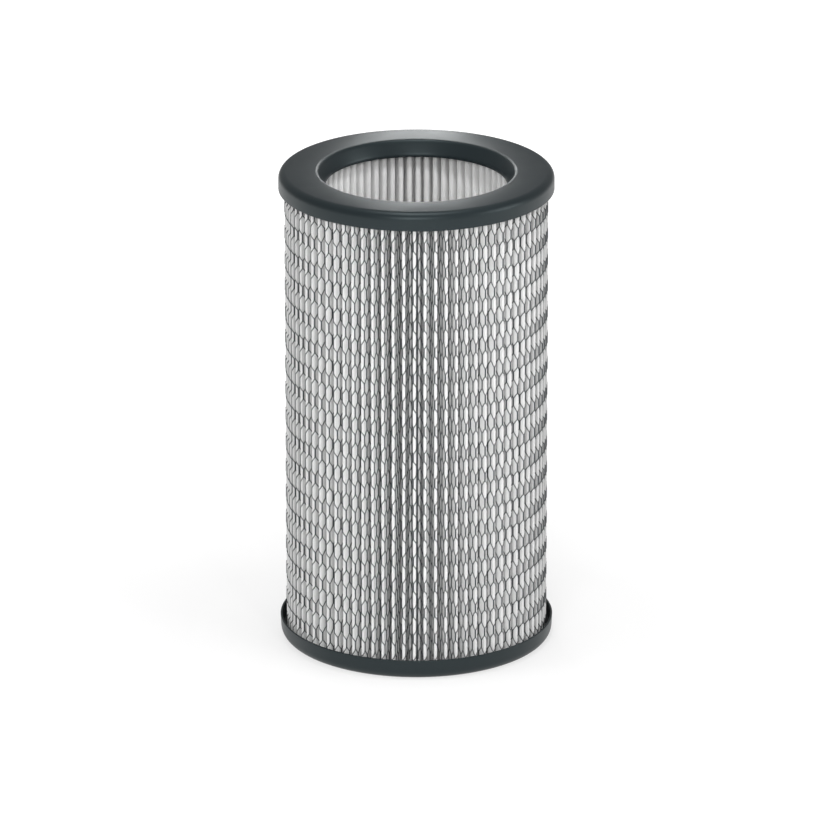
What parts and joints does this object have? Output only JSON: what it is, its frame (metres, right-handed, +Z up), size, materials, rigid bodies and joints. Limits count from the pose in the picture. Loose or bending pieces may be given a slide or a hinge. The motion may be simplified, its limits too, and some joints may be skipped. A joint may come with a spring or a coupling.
{
  "type": "pleated filter element",
  "caption": "Tall cylindrical filter element: pleated white media under a co-pleated support mesh, between an open top cap and a closed bottom cap.",
  "frame": {"origin": "middle of the flat underside of the bottom end cap, which the element stands on", "axes": "+Z up along the element's axis towards the open cap; +X and +Y across it, with the side seam 14.3 degrees from +X towards +Y"},
  "size_m": [0.14, 0.14, 0.25],
  "materials": {
    "cap_enamel": "satin",
    "filter_media": "matt",
    "mesh_coating": "satin",
    "potting_compound": "satin",
    "clip_steel": "plain"
  },
  "bodies": {
    "root": {"top_end_cap": "cap_enamel", "bottom_end_cap": "cap_enamel", "top_potting": "potting_compound", "bottom_potting": "potting_compound", "pleated_media": "filter_media", "support_mesh": "mesh_coating", "seam_clip": "clip_steel"}
  },
  "joints": []
}
